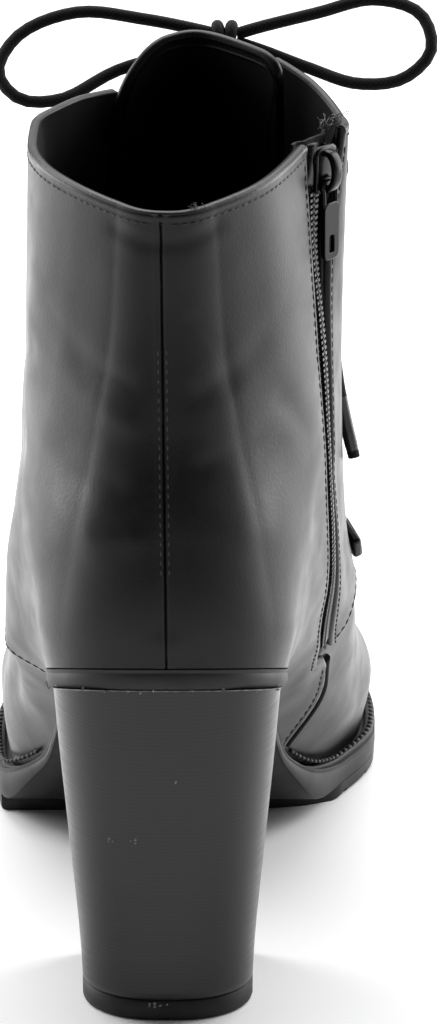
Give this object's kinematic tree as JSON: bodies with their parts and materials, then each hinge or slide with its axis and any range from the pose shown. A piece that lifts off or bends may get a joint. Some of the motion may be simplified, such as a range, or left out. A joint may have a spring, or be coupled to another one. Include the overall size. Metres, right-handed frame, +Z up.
{
  "type": "lace-up ankle boot",
  "caption": "Left ankle boot with laced front, inner side zip with hanging pull, back seam, heel rand and tall tapered block heel.",
  "frame": {"origin": "centre of the contact face under the heel's top lift, on the floor", "axes": "+Z up, +Y from the heel toward the toe, +X toward the inner side of the foot"},
  "size_m": [0.1096, 0.2463, 0.2228],
  "materials": {
    "black_leather": "smooth satin with broad soft highlights",
    "black_fabric": "matt lining cloth",
    "black_rubber": "matt moulded",
    "stacked_heel": "fine level lines, half matt",
    "black_zip": "half gloss",
    "black_metal": "gloss black",
    "dark_metal": "dark nickel",
    "lace_cord": "round matt cord"
  },
  "bodies": {
    "boot": {"upper": "black_leather", "back_quarter": "black_leather", "lateral_facing": "black_leather", "medial_facing": "black_leather", "tongue": "black_fabric", "insole": "black_fabric", "outsole": "black_rubber", "welt": "black_rubber", "heel_block": "stacked_heel", "top_lift": "black_rubber", "zip_tape": "black_fabric", "zip_chain": "black_zip", "zip_slider": "black_metal", "lateral_ring_1": "dark_metal", "medial_ring_1": "dark_metal", "lateral_ring_2": "dark_metal", "medial_ring_2": "dark_metal", "lateral_ring_3": "dark_metal", "medial_ring_3": "dark_metal", "lateral_ring_4": "dark_metal", "medial_ring_4": "dark_metal", "lateral_ring_5": "dark_metal", "medial_ring_5": "dark_metal", "lace_crossings": "lace_cord", "lace_knot": "lace_cord", "lateral_loop": "lace_cord", "medial_loop": "lace_cord", "lateral_end": "lace_cord", "medial_end": "lace_cord"},
    "pull": {"zip_pull": "black_metal"}
  },
  "joints": [
    {"name": "pull_swing", "type": "hinge", "parent": "boot", "child": "pull", "pos_m": [0.03818, 0.02803, 0.19495], "axis": [-0.577, -0.8167, 0], "range_deg": [0, 120]}
  ]
}
